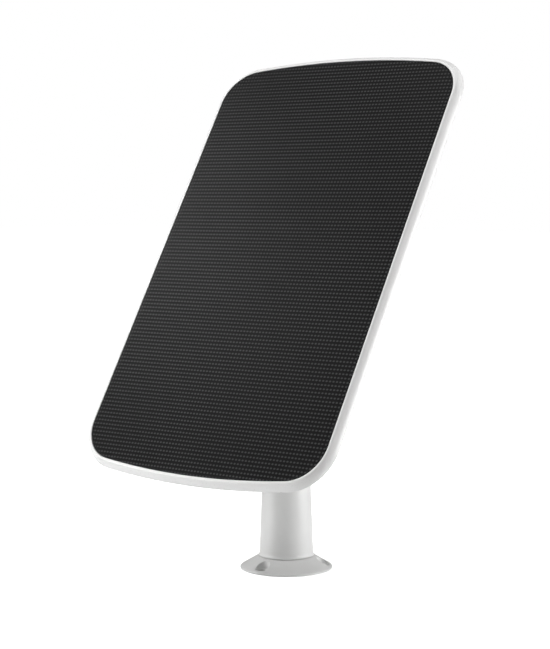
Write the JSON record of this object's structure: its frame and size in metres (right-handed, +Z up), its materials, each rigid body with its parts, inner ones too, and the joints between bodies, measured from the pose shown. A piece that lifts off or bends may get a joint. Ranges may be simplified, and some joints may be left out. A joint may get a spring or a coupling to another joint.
{
  "type": "solar charging panel with ball-head post mount",
  "caption": "Slim framed solar panel with a finely dotted film, tilting on a ball head above a tapered post and a round screw-down flange.",
  "frame": {"origin": "middle of the base flange underside, on the mounting surface", "axes": "+Z up the post; at rest the panel faces -Y and up, leaning back 31.4 degrees from upright; +X is to the right of someone facing the panel from -Y"},
  "size_m": [0.165, 0.1409, 0.2773],
  "materials": {
    "white_plastic": "satin moulded",
    "frame_plastic": "smooth satin gloss",
    "dark_film": "fine dimpled film",
    "cell_silicon": "dark silicon",
    "circuit_board": "solder mask",
    "tinned_copper": "tinned",
    "steel": "plated",
    "brass": "machined",
    "rubber": "matte",
    "foam": "closed-cell foam",
    "black_plastic": "textured",
    "nylon": "natural",
    "component": "moulded package",
    "red_wire": "wire jacket",
    "black_wire": "wire jacket"
  },
  "bodies": {
    "mast": {"base_flange": "white_plastic", "base_cover": "white_plastic", "post_screw": "steel", "post_screw_washer": "steel", "post_shell": "white_plastic", "post_cap": "white_plastic", "post_stud": "steel", "pan_washer": "nylon"},
    "head": {"housing_base": "white_plastic", "ball_housing": "white_plastic"},
    "cup": {"pressure_cup": "nylon"},
    "lock_slide": {"lock_washer": "nylon"},
    "knob": {"lock_knob": "black_plastic", "lock_screw": "steel"},
    "ball": {"ball_stud": "steel"},
    "grip": {"grip_washer": "rubber"},
    "wheel": {"jam_wheel": "black_plastic"},
    "panel": {"front_frame": "frame_plastic", "rear_cover": "white_plastic", "cover_seal": "rubber", "board_gasket": "foam", "cable_gland": "rubber", "front_film": "dark_film", "threaded_insert": "brass", "cell_board": "circuit_board", "regulator_board": "circuit_board", "regulator_inductor": "component", "regulator_chip": "component", "regulator_capacitor": "component", "regulator_terminal": "component", "lead_positive": "red_wire", "lead_negative": "black_wire", "ribbon_bridge": "tinned_copper", "ribbon_positive": "tinned_copper", "ribbon_negative": "tinned_copper", "solar_cell_01": "cell_silicon", "solar_cell_02": "cell_silicon", "solar_cell_03": "cell_silicon", "solar_cell_04": "cell_silicon", "solar_cell_05": "cell_silicon", "solar_cell_06": "cell_silicon", "solar_cell_07": "cell_silicon", "solar_cell_08": "cell_silicon", "solar_cell_09": "cell_silicon", "solar_cell_10": "cell_silicon", "solar_cell_11": "cell_silicon", "solar_cell_12": "cell_silicon", "cover_screw_1": "steel", "cover_screw_2": "steel", "cover_screw_3": "steel", "cover_screw_4": "steel", "cover_screw_5": "steel", "cover_screw_6": "steel"}
  },
  "joints": [
    {"name": "head_pan", "type": "hinge", "parent": "mast", "child": "head", "pos_m": [0, 0, 0.0919], "axis": [0, 0, 1], "continuous": true},
    {"name": "ball_tilt", "type": "hinge", "parent": "head", "child": "ball", "pos_m": [0, 0, 0.1149], "axis": [1, 0, 0], "range_deg": [-88, 31]},
    {"name": "panel_turn", "type": "hinge", "parent": "ball", "child": "panel", "pos_m": [0, 0, 0.1149], "axis": [0, -0.8533, 0.5215], "range_deg": [-90, 90]},
    {"name": "grip_slide", "type": "slide", "parent": "ball", "child": "grip", "axis": [0, -0.8533, 0.5215], "range_m": [-0.00127, 0]},
    {"name": "jam_wheel_turn", "type": "hinge", "parent": "grip", "child": "wheel", "pos_m": [0, 0, 0.1149], "axis": [0, -0.8533, 0.5215], "range_deg": [-360, 0]},
    {"name": "cup_slide", "type": "slide", "parent": "head", "child": "cup", "axis": [0, 0, 1], "range_m": [-0.0005, 0]},
    {"name": "lock_slide", "type": "slide", "parent": "head", "child": "lock_slide", "axis": [0, 1, 0], "range_m": [0, 0.0008]},
    {"name": "lock_knob_turn", "type": "hinge", "parent": "lock_slide", "child": "knob", "pos_m": [0, 0.015, 0.105], "axis": [0, 1, 0], "range_deg": [0, 360]}
  ],
  "couplings": [
    {"joint": "jam_wheel_turn", "follows": "grip_slide", "rad_per_m": 4947.4},
    {"joint": "lock_knob_turn", "follows": "lock_slide", "rad_per_m": 7854},
    {"joint": "cup_slide", "follows": "lock_slide", "ratio": -0.625}
  ]
}
